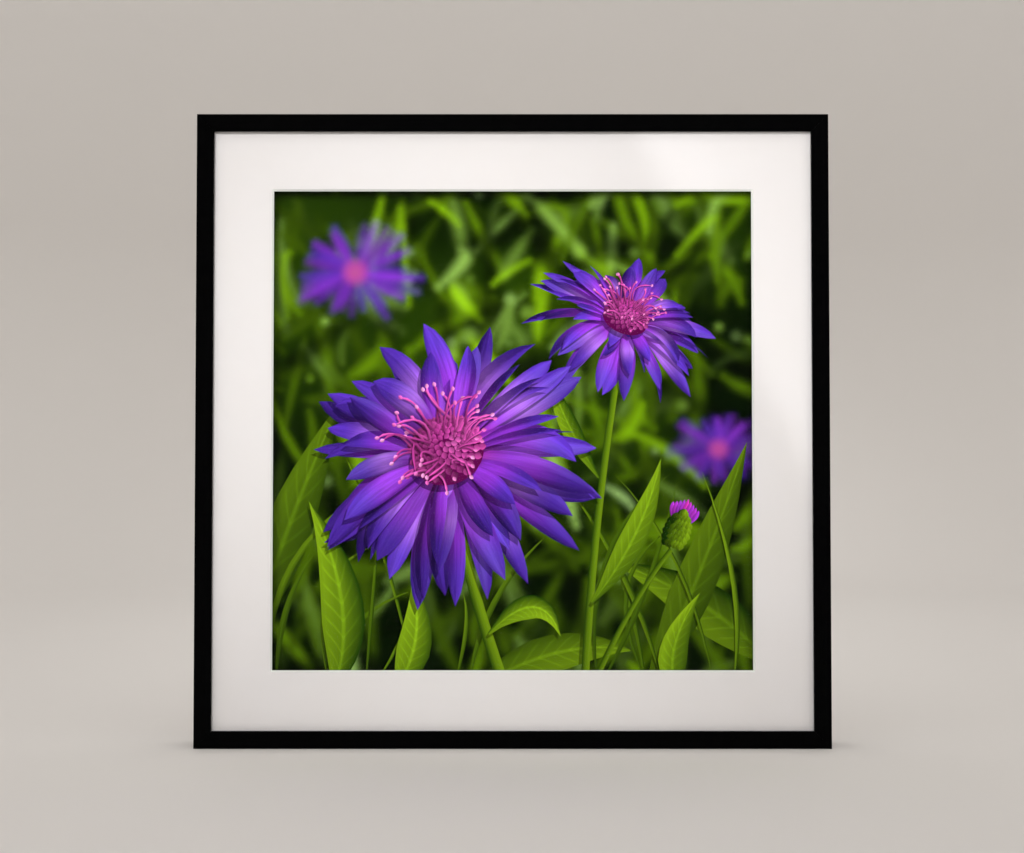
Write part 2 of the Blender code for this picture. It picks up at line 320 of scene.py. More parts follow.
def hardboard(name, colour):
    """Brown hardboard with pressed wood fibres and the crossed lines of its screen side."""
    finish = Finish(name)
    where = finish.place()
    x, _, z = finish.split(where)
    pitch = 1.6 * MM
    lines = [abs((value / pitch).fraction() - 0.5) * 2 for value in (x, z)]
    screen = finish.step(lines[0], 0.2, 0.9) + finish.step(lines[1], 0.2, 0.9)
    fibres = finish.noise(where, 900, 4, 0.7)
    flecks = finish.step(finish.noise(where, 520, 2), 0.6, 0.75)
    cloud = finish.noise(where, 18, 3)
    chips = finish.node("ShaderNodeTexVoronoi", None, {"Vector": where, "Scale": 330}, "Color")
    dark = shaded(colour, 0.62)
    pale = tuple(value * share for value, share in zip(colour, (1.7, 1.75, 1.8)))
    tone = finish.mix(cloud * 0.5 + fibres * 0.5, dark, colour)
    tone = finish.mix(finish.step(chips, 0.55, 0.95) * 0.3, tone, dark)
    tone = finish.mix(flecks * 0.6, tone, pale)
    tone = finish.mix(screen * 0.12, tone, dark)
    return finish.surface(
        Base_Color=tone, Roughness=0.7 + fibres * 0.2,
        Normal=finish.bump(fibres * 0.6 + screen * 0.5, 0.12 * MM, 0.7))


def zinc_steel(name, colour):
    """Zinc-plated steel with spangle, drawing lines and slight tarnish."""
    finish = Finish(name)
    where = finish.place()
    spangle = finish.node("ShaderNodeTexVoronoi", None, {"Vector": where, "Scale": 900}, "Distance")
    lines = finish.noise(finish.place((1, 1, 0.06)), 5200, 2)
    tarnish = finish.step(finish.noise(where, 260, 3, 0.6), 0.45, 0.75)
    tone = finish.mix(tarnish * 0.6, colour, shaded(colour, 0.6))
    tone = finish.mix(spangle * 0.25, tone, (0.75, 0.76, 0.78))
    return finish.surface(
        Base_Color=tone, Metallic=0.95, Roughness=0.28 + tarnish * 0.2 + spangle * 0.1,
        Normal=finish.bump(lines, 0.01 * MM, 0.5))


def felt(name, colour):
    """Pressed felt with matted fibres."""
    finish = Finish(name)
    where = finish.place()
    fibres = finish.noise(where, 3200, 4, 0.75)
    clumps = finish.noise(where, 900, 3, 0.6)
    tone = finish.mix(fibres, shaded(colour, 0.5), shaded(colour, 1.8))
    return finish.surface(
        Base_Color=tone, Roughness=0.95, Sheen_Weight=0.4, Sheen_Roughness=0.5,
        Normal=finish.bump(fibres + clumps, 0.25 * MM, 0.9))


def studio_paint(name, colour):
    """Matt pale paint for the floor that curves up all round."""
    finish = Finish(name)
    cloud = finish.noise(finish.place(), 1.2, 2)
    tone = finish.mix(cloud, shaded(colour, 0.985), colour)
    return finish.surface(Base_Color=tone, Roughness=0.9, Specular_IOR_Level=0.2)


# Modelling helpers

def deselect():
    """Leave edit mode and select nothing."""
    if bpy.context.mode != "OBJECT":
        bpy.ops.object.mode_set(mode="OBJECT")
    bpy.ops.object.select_all(action="DESELECT")


def pick(piece):
    """Select one piece alone and make it the active one."""
    deselect()
    piece.select_set(True)
    bpy.context.view_layer.objects.active = piece


def fix_place():
    """Put the selected object's place, turn and size into its mesh."""
    bpy.ops.object.transform_apply(location=True, rotation=True, scale=True)


def edit():
    """Enter edit mode with nothing selected."""
    bpy.ops.object.mode_set(mode="EDIT")
    bpy.ops.mesh.select_all(action="DESELECT")


def block(name, low, high):
    """Add a box between two corners and go on in edit mode."""
    low, high = Vector(low), Vector(high)
    deselect()
    bpy.ops.mesh.primitive_cube_add(size=1, location=(low + high) / 2, scale=high - low)
    fix_place()
    piece = bpy.context.object
    piece.name = name
    edit()
    return piece


def choose(kind, test):
    """Select the faces, edges or vertices that pass a test, in edit mode."""
    bpy.ops.mesh.select_all(action="DESELECT")
    bpy.ops.mesh.select_mode(type=kind)
    mesh = bpy.context.edit_object.data
    shape = bmesh.from_edit_mesh(mesh)
    chosen = [item for item in {"VERT": shape.verts, "EDGE": shape.edges, "FACE": shape.faces}[kind]
              if test(item)]
    if not chosen:
        raise RuntimeError(f"nothing to select on {bpy.context.edit_object.name}")
    for item in chosen:
        item.select_set(True)
    shape.select_flush_mode()
    bmesh.update_edit_mesh(mesh)


def near(value, target, reach=0.01 * MM):
    """Tell whether two lengths are the same within a reach."""
    return abs(value - target) < reach


def runs_along(edge, axis):
    """Tell whether an edge is parallel to an axis."""
    way = edge.verts[1].co - edge.verts[0].co
    return abs(way[axis]) > 0.99 * way.length


def settle(piece, angle=30):
    """Shade the piece smooth up to an angle, with flat faces kept flat, and leave edit mode."""
    pick(piece)
    bpy.ops.object.shade_smooth_by_angle(angle=radians(angle))
    apply(piece, "WEIGHTED_NORMAL", keep_sharp=True)


def apply(piece, kind, **settings):
    """Add a modifier to the piece and apply it."""
    bpy.context.view_layer.objects.active = piece
    modifier = piece.modifiers.new(kind.lower(), kind)
    for key, value in settings.items():
        setattr(modifier, key, value)
    bpy.ops.object.modifier_apply(modifier=modifier.name)


def dress(piece, slot, *materials):
    """Give a finished piece its materials and its body. The slot is not used."""
    piece.data.materials.clear()
    for material in materials:
        piece.data.materials.append(material)
    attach(piece, "root")


def redress(node, material):
    """Give a packed part that keeps its shape a better material."""
    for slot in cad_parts[node].material_slots:
        slot.material = material


def copy_of(source, name):
    """Copy an object with its own mesh, and leave it selected and active."""
    piece = source.copy()
    piece.data = source.data.copy()
    piece.name = name
    for key in list(piece.keys()):
        del piece[key]
    piece.parent = None
    bpy.context.collection.objects.link(piece)
    pick(piece)
    return piece


def packed_copy(node, name):
    """Copy a packed part's mesh, joined up and ready to be modelled further, in edit mode."""
    piece = copy_of(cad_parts[node], name)
    bpy.ops.object.mode_set(mode="EDIT")
    bpy.ops.mesh.select_all(action="SELECT")
    bpy.ops.mesh.remove_doubles(threshold=0.001 * MM)
    bpy.ops.mesh.tris_convert_to_quads()
    bpy.ops.mesh.dissolve_limited(angle_limit=radians(1))
    bpy.ops.mesh.customdata_custom_splitnormals_clear()
    bpy.ops.mesh.select_all(action="DESELECT")
    return piece


def cut_slot(piece, node, gap):
    """Cut the slot that a packed nail sits in, open to the back, with a gap all round it."""
    past_back = 1 * MM
    nail = packed_copy(node, "slot_" + node)
    bpy.ops.mesh.select_all(action="SELECT")
    bpy.ops.transform.shrink_fatten(value=gap, use_even_offset=True)
    choose("FACE", lambda face: face.normal.y > 0.9)
    bpy.ops.transform.translate(value=(0, past_back, 0))
    deselect()
    apply(piece, "BOOLEAN", operation="DIFFERENCE", object=nail, solver="EXACT")
    bpy.data.objects.remove(nail)


def middle_of(piece):
    """Return the middle of a piece's box."""
    places = np.array([corner.co for corner in piece.data.vertices])
    return Vector((places.min(0) + places.max(0)) / 2)


def quarter_turn(piece, turns):
    """Turn a piece by quarter turns about the middle of the picture."""
    pick(piece)
    bpy.ops.transform.rotate(value=turns * pi / 2, orient_axis="Y", center_override=MIDDLE)
    fix_place()


# The flower picture. Its lengths are in half widths of the window, with (0, 0) in the middle.

SUN = Vector((0.42, 0.66, 0.62)).normalized()    # the way to the sun, with Z out of the picture
SHADOW_FALL = Vector((-0.5, -0.86))
# Half widths from root to tip, as shares of the widest. Those of a style are shares of the disc's radius.
PETAL_WIDTHS = (0.30, 0.42, 0.58, 0.74, 0.88, 0.97, 1.0, 0.95, 0.80, 0.52, 0.0)
LEAF_WIDTHS = (0.10, 0.36, 0.66, 0.88, 1.0, 0.98, 0.88, 0.72, 0.50, 0.25, 0.0)
BUTTON_WIDTHS = (0.0, 0.75, 1.0, 0.75, 0.0)
STYLE_WIDTHS = (0.035, 0.032, 0.028, 0.024, 0.024, 0.034, 0.0)
STEM_WIDTHS = [1 - 0.02 * i for i in range(11)]
OUTLINE_STEP = 0.03
THROUGH = 0.3                 # sunlight that comes through a petal from behind
SUNLIGHT = 0.95
SHADE_LIGHT = 0.34            # light that reaches every side of a petal
MEADOW_SEED, PLANT_SEED = 11, 4
STROKE_ROUNDS = (150, 170, 150, 110)    # blurred blades, from the farthest to the nearest

# Start, bend and end of each leaf's spine, and half its width
LEAVES_BEHIND = (
    ((-1.1, -0.9), (-0.95, -0.4), (-0.72, 0.12), 0.10),
    ((1.1, -1.0), (0.85, -0.7), (0.42, -0.55), 0.10),
    ((0.55, -1.1), (0.8, -0.6), (0.98, -0.05), 0.085),
    ((-0.2, -1.1), (0.2, -0.85), (0.5, -0.92), 0.08),
)
LEAVES_IN_FRONT = (
    ((-0.75, -1.1), (-0.62, -0.75), (-0.85, -0.3), 0.09),
    ((0.33, -0.72), (0.55, -0.45), (0.62, -0.12), 0.055),
    ((-0.1, -0.85), (0.12, -0.62), (0.2, -0.86), 0.05),
    ((-0.5, -1.1), (-0.35, -0.9), (-0.42, -0.62), 0.07),
    ((0.36, -0.2), (0.2, 0.05), (0.16, 0.22), 0.04),
    ((0.7, -1.1), (0.6, -0.95), (0.78, -0.68), 0.06),
)
# The same for each stem, and how pale its lit side is
STEMS = (
    ((0.3, -1.05), (0.34, -0.3), (0.47, 0.42), 0.017, 0.7),
    ((0.34, -1.05), (0.5, -0.7), (0.66, -0.5), 0.012, 0.6),
    ((-0.04, -1.05), (-0.2, -0.6), (-0.28, -0.15), 0.024, 0.8),
)
# Centre, radius, random seed and, for those in focus, the lean of each aster in degrees
BLURRED_ASTERS = (((-0.66, 0.66), 0.27, 5), ((0.86, -0.08), 0.2, 8))
ASTERS = (((0.47, 0.46), 0.40, 21, (-48, 26)), ((-0.27, -0.10), 0.64, 12, (-30, -14)))
# Place, size and lean of the bud, the lean in radians
BUD = ((0.68, -0.44), 0.062, 0.35)


def blend_stops(place, stops):
    """Return the colour at a place among evenly spaced colours."""
    at = min(max(place, 0), 1) * (len(stops) - 1)
    low = min(int(at), len(stops) - 2)
    return Vector(stops[low]).lerp(Vector(stops[low + 1]), at - low)


def lit(colour, normal):
    """Return a colour in the picture's own sunlight, with some light coming through from behind."""
    facing = normal.dot(SUN)
    light = SHADE_LIGHT + SUNLIGHT * max(facing, 0) + THROUGH * max(-facing, 0)
    gleam = max(normal.dot((SUN + Vector((0, 0, 1))).normalized()), 0) ** 18 * 0.05
    return Vector(colour) * light + Vector((gleam, gleam, gleam * 1.3))


def growing_inks(tone, shades, root, rise, count):
    """Return inks for a blade's two edges and spine, which grow paler from its root to its tip."""
    return [[tuple(tone * shade * (root + rise * i / (count - 1))) for i in range(count)]
            for shade in shades]


class Picture:
    """Flat shapes laid on each other from back to front, each with its own inks and marks."""

    def __init__(self, backdrop):
        self.backdrop = backdrop
        self.points = []
        self.creases = []     # pairs of points, down each blade's spine
        self.faces = []       # outlines, as rings of points
        self.owners = []      # the layer that each outline belongs to
        self.layers = []      # a blade's shape, inks and marks, or a shadow's strength

    def add_points(self, points):
        """Add points and return their numbers."""
        start = len(self.points)
        self.points += [Vector(point) for point in points]
        return list(range(start, len(self.points)))

    def add_outline(self, outline):
        """Add an outline, turned to run anticlockwise, that belongs to the newest layer."""
        fine = []
        for a, b in zip(outline, outline[1:] + outline[:1]):
            parts = int((Vector(b) - Vector(a)).length / OUTLINE_STEP) + 1
            fine += [tuple(Vector(a).lerp(Vector(b), i / parts)) for i in range(parts)]
        ring = self.add_points(fine)
        corners = [self.points[i] for i in ring]
        area = sum(corners[i - 1].cross(corners[i]) for i in range(len(ring)))
        self.faces.append(ring if area > 0 else ring[::-1])
        self.owners.append(len(self.layers) - 1)

    def blade(self, left, spine, right, inks, streaky=0.0, veined=0.0, seed=0.0):
        """Lay a blade with a spine and two edges, and inks for each of the three along its length."""
        self.layers.append({"spine": np.array(spine), "edges": (np.array(left), np.array(right)),
                            "inks": np.array(inks), "marks": (seed, streaky, veined)})
        last = len(spine) - 1
        crease = self.add_points(spine)
        self.creases += list(zip(crease, crease[1:]))
        pointed = (Vector(left[last]) - Vector(right[last])).length < 1e-6
        closed = (Vector(left[0]) - Vector(right[0])).length < 1e-6
        self.add_outline(list(left[closed:]) + list(right[last - pointed::-1]))

    def shadow(self, outline, fall, strength):
        """Darken what lies under an outline that is moved along the fall of the light."""
        self.layers.append({"strength": strength})
        shift = SHADOW_FALL * fall
        self.add_outline([(x + shift.x, y + shift.y) for x, y in outline])

    def strip(self, spine, widths, inks, fall=0.0, **marks):
        """Lay a flat blade about a spine, after its shadow."""
        left, right = [], []
        for i, point in enumerate(spine):
            before, after = spine[max(i - 1, 0)], spine[min(i + 1, len(spine) - 1)]
            way = (Vector(after) - Vector(before)).normalized()
            side = Vector((-way.y, way.x)) * widths[i]
            left.append(tuple(Vector(point) + side))
            right.append(tuple(Vector(point) - side))
        if fall:
            self.shadow(left + right[::-1], fall, 0.45)
        self.blade(left, spine, right, inks, **marks)


def curve(start, bend, end, steps=10):
    """Return points on a curve that leaves start towards bend and arrives at end."""
    start, bend, end = Vector(start), Vector(bend), Vector(end)
    return [tuple(start.lerp(bend, i / steps).lerp(bend.lerp(end, i / steps), i / steps))
            for i in range(steps + 1)]


def petal(picture, chance, tilt, centre, root, azimuth, length, width, rise, droop, stops, fall):
    """Lay one petal that leaves a flower's centre, modelled in three dimensions and drawn flat."""
    steps = len(PETAL_WIDTHS) - 1
    outward = Vector((cos(azimuth), sin(azimuth), 0))
    around = Vector((-sin(azimuth), cos(azimuth), 0))
    up = Vector((0, 0, 1))
    point = outward * root
    bend = chance.gauss(0, 0.28)
    roll = chance.gauss(0, 0.32)
    twist = chance.gauss(0, 0.5)
    cup = chance.uniform(0.25, 0.6)
    strength = chance.uniform(0.72, 1.2)
    columns, inks = [[], [], []], [[], [], []]
    for i, share in enumerate(PETAL_WIDTHS):
        along = i / steps
        climb = rise - droop * along
        way = outward * cos(climb) + up * sin(climb) + around * bend * along
        way.normalize()
        if i:
            point = point + way * (length / steps)
        side = around - way * around.dot(way)
        side.normalize()
        face = way.cross(side)
        if face.z < 0:
            face = -face
        turn = roll + twist * along
        side, face = side * cos(turn) + face * sin(turn), face * cos(turn) - side * sin(turn)
        tone = blend_stops(along, stops) * strength
        for column, hand in enumerate((-1, 0, 1)):
            place = tilt @ (point + side * hand * width * share + face * abs(hand) * cup * width * share)
            normal = tilt @ (face - side * hand * cup * 1.6).normalized()
            if normal.z < 0:
                normal = -normal
            columns[column].append((centre[0] + place.x, centre[1] + place.y))
            shade = lit(tone, normal) * (0.62 + 0.38 * min(along * 3, 1))
            inks[column].append(tuple(shade))
    picture.shadow(columns[0] + columns[2][::-1], fall, 0.42)
    picture.blade(*columns, inks, streaky=chance.uniform(0.45, 0.75), seed=chance.random())


def button(picture, place, radius, ink, stretch, turn):
    """Lay a small floret, stretched along one way and lit from one side."""
    way = Vector((cos(turn), sin(turn)))
    half = len(BUTTON_WIDTHS) // 2
    spine = [tuple(Vector(place) + way * radius * stretch * (i - half) / half)
             for i in range(len(BUTTON_WIDTHS))]
    inks = growing_inks(Vector(ink), (0.55, 1.0, 1.5), 1, 0, len(spine))
    picture.strip(spine, [radius * share for share in BUTTON_WIDTHS], inks, streaky=0.2,
                  seed=radius * 37 % 1)


def blossom(picture, settings, centre, radius, seed, lean):
    """Lay an aster: three whorls of petals and a domed disc of florets with its styles."""
    chance = random.Random(seed)
    tilt = Euler((radians(lean[0]), radians(lean[1]), 0)).to_matrix()
    tip, middle, root = (tuple(colour) for colour in
                         (settings.petal_tip, settings.petal_middle, settings.petal_root))
    pale = tuple(Vector(middle).lerp(Vector((0.55, 0.26, 0.95)), 0.45))
    whorls = ((1.0, -4, 24, settings.petals), (0.92, 12, 30, settings.petals - 2),
              (0.74, 30, 38, settings.petals - 6))
    for reach, rise, droop, count in whorls:
        order = list(range(count))
        chance.shuffle(order)
        for i in order:
            azimuth = 2 * pi * (i + chance.uniform(-0.32, 0.32)) / count + reach * 5
            stops = (root, middle, pale if chance.random() < 0.35 else middle, tip, tip)
            petal(picture, chance, tilt, centre, radius * 0.13, azimuth,
                  radius * reach * chance.uniform(0.78, 0.98), radius * chance.uniform(0.062, 0.088),
                  radians(rise + chance.gauss(0, 7)), radians(droop + chance.gauss(0, 16)), stops,
                  radius * 0.04)
    disc(picture, chance, tilt, centre, radius, settings)


def style(picture, chance, place, size, angle, pink, deep):
    """Lay a pink style that stands up from the disc, with a ball at its end."""
    start = size * chance.uniform(0.35, 0.95)
    end = start + size * chance.uniform(0.45, 0.95)
    height = size * chance.uniform(0.75, 1.35)
    a, c = place(start, angle, size * 0.5), place(end, angle + chance.gauss(0, 0.2), height)
    b = place((start + end) / 2, angle + chance.gauss(0, 0.25), height * 1.05)
    spine = curve(a, b, c, 6)
    tone = deep.lerp(pink, chance.uniform(0.3, 1))
    inks = growing_inks(tone, (0.6, 1.05, 1.4), 0.5, 0.9, len(spine))
    picture.strip(spine, [size * share for share in STYLE_WIDTHS], inks, size * 0.06, streaky=0.1)
    ball = pink.lerp(Vector((0.95, 0.42, 0.78)), chance.random() * 0.8)
    button(picture, c, size * 0.055, tuple(ball), 1.3, angle)


def disc(picture, chance, tilt, centre, radius, settings):
    """Lay the disc: a dome of florets in spirals, and pink styles that stand up round it."""
    size = radius * 0.24
    pink, deep = Vector(settings.style_pink), Vector(settings.disc_deep)

    def place(distance, angle, height):
        """Return a spot on the dome, drawn flat."""
        spot = tilt @ Vector((cos(angle) * distance, sin(angle) * distance, height))
        return centre[0] + spot.x, centre[1] + spot.y

    half = 12
    ring = [place(size, pi * i / half, 0) for i in range(2 * half)]
    picture.shadow(ring, radius * 0.05, 0.35)
    left, right = ring[:half + 1], ring[:1] + ring[:half - 1:-1]
    spine = [tuple((Vector(a) + Vector(b)) / 2) for a, b in zip(left, right)]
    picture.blade(left, spine, right, [[tuple(deep * 0.5)] * len(spine)] * 3)
    florets = settings.florets
    for i in range(florets, 0, -1):
        share = sqrt(i / florets)
        angle = i * pi * (3 - sqrt(5))    # the golden angle on from the floret before
        height = size * 0.75 * sqrt(max(1 - share * share * 0.9, 0))
        spot = place(size * share, angle, height)
        normal = tilt @ Vector((cos(angle) * share, sin(angle) * share, 1.15 - share)).normalized()
        ink = lit(deep.lerp(pink, 0.25 + 0.5 * share * chance.random()), normal)
        button(picture, spot, size * (0.075 + 0.03 * share), tuple(ink), 1.15, angle)
    for i in range(settings.styles):
        angle = 2 * pi * (i + chance.uniform(-0.4, 0.4)) / settings.styles * 3
        style(picture, chance, place, size, angle, pink, deep)


def leaf(picture, chance, start, bend, end, width, dark, pale, fall=0.02):
    """Lay a lanceolate leaf with one half in more light than the other."""
    spine = curve(start, bend, end)
    way = (Vector(end) - Vector(start)).normalized()
    tip_light = chance.uniform(0.8, 1.3)
    inks = []
    for hand in (-1, 0, 1):
        facing = 0.55 + 0.45 * hand * (way.x - way.y) + chance.uniform(-0.1, 0.1)
        row = []
        for i in range(len(spine)):
            along = i / (len(spine) - 1)
            share = min(max(facing * (0.55 + 0.6 * along) * tip_light, 0), 1.2)
            row.append(tuple(Vector(dark).lerp(Vector(pale), share)))
        inks.append(row)
    picture.strip(spine, [width * share for share in LEAF_WIDTHS], inks, fall,
                  streaky=0.16, veined=1.0, seed=chance.random())


def stem(picture, start, bend, end, width, dark, pale):
    """Lay a round stem."""
    spine = curve(start, bend, end)
    inks = [[tuple(colour)] * len(spine) for colour in (dark, dark.lerp(pale, 0.6), pale)]
    picture.strip(spine, [width * share for share in STEM_WIDTHS], inks, 0.03, streaky=0.25, seed=0.3)


def bud(picture, chance, place, size, lean, settings):
    """Lay a bud: overlapping green scales on an egg shape, with a tuft of closed petals."""
    way = Vector((sin(lean), cos(lean)))
    side = Vector((way.y, -way.x))
    for i in range(9):
        spread = (i - 4) / 4
        tip = Vector(place) + way * size * (2.6 - 0.5 * abs(spread)) + side * size * spread * 0.9
        root = Vector(place) + way * size * 0.9 + side * size * spread * 0.45
        spine = curve(root, (root + tip) / 2 + side * size * spread * 0.25, tip)
        tone = Vector(settings.petal_middle).lerp(Vector(settings.petal_root), chance.random())
        inks = growing_inks(tone, (0.6, 1, 1.5), 0.6, 0.8, len(spine))
        picture.strip(spine, [size * 0.16 * share for share in PETAL_WIDTHS], inks, size * 0.1,
                      streaky=0.5, seed=chance.random())
    dark, pale = Vector(settings.leaf_dark), Vector(settings.leaf_pale)
    for row in range(6, -1, -1):
        height = size * (-0.9 + row * 0.36)
        girth = size * sqrt(max(1 - ((height + 0.05 * size) / (1.25 * size)) ** 2, 0.05)) * 0.95
        count = 5 if row % 2 else 6
        for i in range(count):
            spread = (i - (count - 1) / 2) / (count / 2)
            root = Vector(place) + way * height + side * girth * spread
            tip = root + way * size * 0.62 - side * size * spread * 0.12
            tone = dark.lerp(pale, min(max(0.32 + 0.4 * spread + chance.uniform(-0.1, 0.1), 0), 1))
            spine = curve(root, (root + tip) / 2, tip)
            inks = growing_inks(tone, (0.7, 1.15, 1.3), 0.55, 0.6, len(spine))
            picture.strip(spine, [size * 0.25 * share for share in LEAF_WIDTHS], inks, size * 0.07,
                          streaky=0.2, veined=0.5, seed=chance.random())


def smooth(value):
    """Return 0 to 1 with a smooth start and end, for an array held within 0 and 1."""
    held = np.clip(value, 0, 1)
    return held * held * (3 - 2 * held)


class Backdrop:
    """The out-of-focus ground of the picture: a square of colours that soft strokes are laid on."""

    def __init__(self, cells, colour):
        self.cells = cells
        line = np.linspace(-SHEET_HALF, SHEET_HALF, cells)
        self.x, self.y = np.meshgrid(line, line, indexing="ij")
        self.colours = np.ones((cells, cells, 3)) * np.array(colour)

    def cover(self, amount, colour):
        """Mix a colour in by an amount for each cell."""
        self.colours += amount[..., None] * (np.array(colour) - self.colours)

    def stroke(self, start, bend, end, width, soft, colour, cover):
        """Lay a curved stroke that is widest in the middle and fades out at its edges."""
        parts = 5
        points = [Vector(point) for point in curve(start, bend, end, parts)]
        amount = np.zeros_like(self.x)
        for i, (a, b) in enumerate(zip(points, points[1:])):
            run = b - a
            along = np.clip(((self.x - a.x) * run.x + (self.y - a.y) * run.y) / run.length_squared, 0, 1)
            away = np.hypot(self.x - a.x - along * run.x, self.y - a.y - along * run.y)
            swell = np.sin(pi * np.clip((i + along) / parts, 0.06, 0.94)) ** 0.6
            amount = np.maximum(amount, smooth((width * swell + soft - away) / (2 * soft)))
        self.cover(amount * cover, colour)

    def spot(self, place, radius, soft, colour, cover):
        """Lay a soft round spot."""
        away = np.hypot(self.x - place[0], self.y - place[1])
        self.cover(smooth((radius + soft - away) / (2 * soft)) * cover, colour)

    def sample(self, points):
        """Return the colours at points, mixed from the four cells around each."""
        at = (np.asarray(points) / SHEET_HALF + 1) / 2 * (self.cells - 1)
        low = np.clip(np.floor(at).astype(int), 0, self.cells - 2)
        part = at - low
        i, j = low[:, 0], low[:, 1]
        u, v = part[:, :1], part[:, 1:]
        grid = self.colours
        return ((1 - u) * (1 - v) * grid[i, j] + u * (1 - v) * grid[i + 1, j]
                + (1 - u) * v * grid[i, j + 1] + u * v * grid[i + 1, j + 1])


def blurred_aster(backdrop, settings, centre, radius, seed):
    """Lay an aster that is out of focus."""
    chance = random.Random(seed)
    petals = 34
    for i in range(petals):
        angle = 2 * pi * i / petals + chance.gauss(0, 0.1)
        way = Vector((cos(angle), sin(angle) * 0.75))
        tone = Vector(settings.petal_middle).lerp(Vector(settings.petal_tip), chance.random())
        start = Vector(centre) + way * radius * 0.15
        end = Vector(centre) + way * radius * chance.uniform(0.75, 1.05)
        backdrop.stroke(start, (start + end) / 2, end, radius * 0.055, 0.026,
                        tone * chance.uniform(0.45, 1.25), 0.85)
    backdrop.spot(centre, radius * 0.17, 0.03, Vector(settings.style_pink) * 0.7, 0.9)


def blurred_blade(backdrop, chance, near_share, dark, pale, silver):
    """Lay a blade of grass that is out of focus: sharper and brighter the nearer it is."""
    start = Vector((chance.uniform(-1.2, 1.2), chance.uniform(-1.2, 1.2)))
    angle = chance.gauss(1.15, 0.55) if chance.random() < 0.6 else chance.gauss(2.2, 0.5)
    reach = chance.uniform(0.12, 0.4)
    end = start + Vector((cos(angle), sin(angle))) * reach
    bend = (start + end) / 2 + Vector((chance.gauss(0, 0.05), chance.gauss(0, 0.05)))
    sunny = 0.5 + 0.5 * (start.y * 0.6 + start.x * 0.25)
    share = min(chance.betavariate(1.25, 2.3) * (0.45 + 1.1 * near_share) * (0.45 + sunny), 1.15)
    tone = (dark * 0.3).lerp(pale, share)
    if chance.random() < 0.22:
        tone = tone.lerp(silver, share * chance.uniform(0.3, 1))
    backdrop.stroke(start, bend, end, chance.uniform(0.008, 0.028), 0.036 - 0.010 * near_share, tone, 0.88)


def meadow(settings):
    """Return the out-of-focus ground: dark gaps, blades of grass and leaves, and two blurred asters."""
    chance = random.Random(MEADOW_SEED)
    dark, pale = Vector(settings.leaf_dark), Vector(settings.leaf_pale)
    backdrop = Backdrop(settings.cells, dark * 0.35)
    silver = Vector(settings.leaf_glint)
    for _ in range(14):
        backdrop.spot((chance.uniform(-1, 1), chance.uniform(-0.4, 1)), chance.uniform(0.1, 0.4), 0.3,
                      dark.lerp(pale, 0.12), 0.4)
    for depth, count in enumerate(STROKE_ROUNDS):
        near_share = depth / (len(STROKE_ROUNDS) - 1)
        for _ in range(count):
            blurred_blade(backdrop, chance, near_share, dark, pale, silver)
        for _ in range(14):
            start = Vector((chance.uniform(-1, 1), chance.uniform(-1, 1)))
            end = start + Vector((chance.gauss(0, 0.25), chance.gauss(0, 0.25)))
            backdrop.stroke(start, (start + end) / 2, end, 0.045, 0.045, dark * 0.15, 0.7)
    for _ in range(46):
        place = (chance.uniform(-1, 1), chance.gauss(0.55, 0.45))
        tone = pale.lerp(silver, chance.random()) * chance.uniform(0.6, 1.15)
        backdrop.spot(place, chance.uniform(0.008, 0.028), 0.024, tone, chance.uniform(0.35, 0.8))
    # More contrast, so that the gaps stay dark
    backdrop.colours = 1.55 * backdrop.colours ** 1.25
    for centre, radius, seed in BLURRED_ASTERS:
        blurred_aster(backdrop, settings, centre, radius, seed)
    return backdrop


def compose(settings):
    """Lay the whole picture: leaves, grass and stems, a bud, and two asters in focus."""
    picture = Picture(meadow(settings))
    chance = random.Random(PLANT_SEED)
    dark, pale = Vector(settings.leaf_dark), Vector(settings.leaf_pale)
    for start, bend, end, width in LEAVES_BEHIND:
        leaf(picture, chance, start, bend, end, width, dark, dark.lerp(pale, 0.55))
    for _ in range(settings.grass):
        x = chance.uniform(-1.05, 1.05)
        bend = (x + chance.gauss(0, 0.1), chance.uniform(-0.8, -0.4))
        end = (bend[0] + chance.gauss(0, 0.22), bend[1] + chance.uniform(0.1, 0.55))
        leaf(picture, chance, (x, -1.08), bend, end, chance.uniform(0.007, 0.014), dark * 1.2,
             dark.lerp(pale, chance.uniform(0.35, 0.8)), 0.012)
    for start, bend, end, width, paleness in STEMS:
        stem(picture, start, bend, end, width, dark * 1.5, dark.lerp(pale, paleness))
    for start, bend, end, width in LEAVES_IN_FRONT:
        leaf(picture, chance, start, bend, end, width, dark * 1.6, pale)
    bud(picture, chance, *BUD, settings)
    for centre, radius, seed, lean in ASTERS:
        blossom(picture, settings, centre, radius, seed, lean)
    return picture


